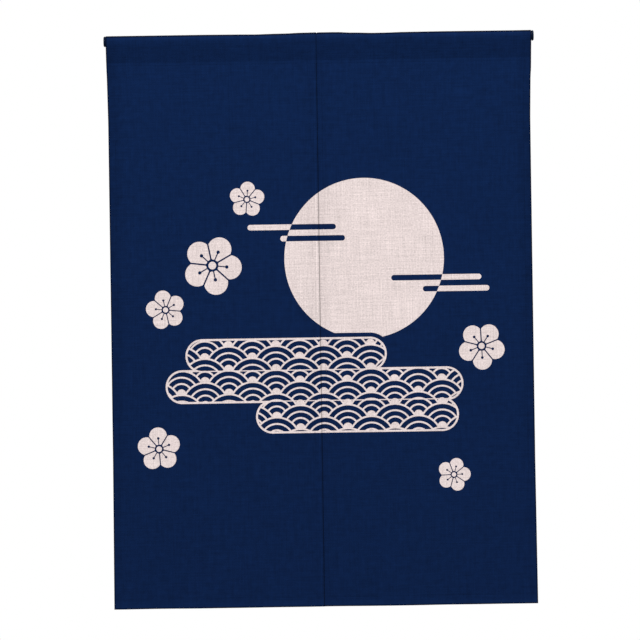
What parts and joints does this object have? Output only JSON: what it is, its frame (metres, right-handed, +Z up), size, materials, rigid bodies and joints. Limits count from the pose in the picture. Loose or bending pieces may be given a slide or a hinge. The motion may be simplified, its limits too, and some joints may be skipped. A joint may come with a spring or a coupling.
{
  "type": "noren curtain on rod",
  "caption": "Short split doorway curtain of hemmed navy cloth panels, hung by a sewn pocket on a thin round rod with end caps.",
  "frame": {"origin": "middle of the rod's length, on its axis", "axes": "+X along the rod to the right seen from the front, -Y towards the viewer, +Z up"},
  "size_m": [0.866, 0.0282, 1.1578],
  "materials": {
    "navy_cloth": "matte linen-look weave, pale printed motifs",
    "painted_tube": "satin blue-black paint",
    "end_cap": "matte navy-black moulded rubber"
  },
  "bodies": {
    "root": {"panel_left": "navy_cloth", "panel_right": "navy_cloth", "rod": "painted_tube", "rod_cap_left": "end_cap", "rod_cap_right": "end_cap"}
  },
  "joints": []
}
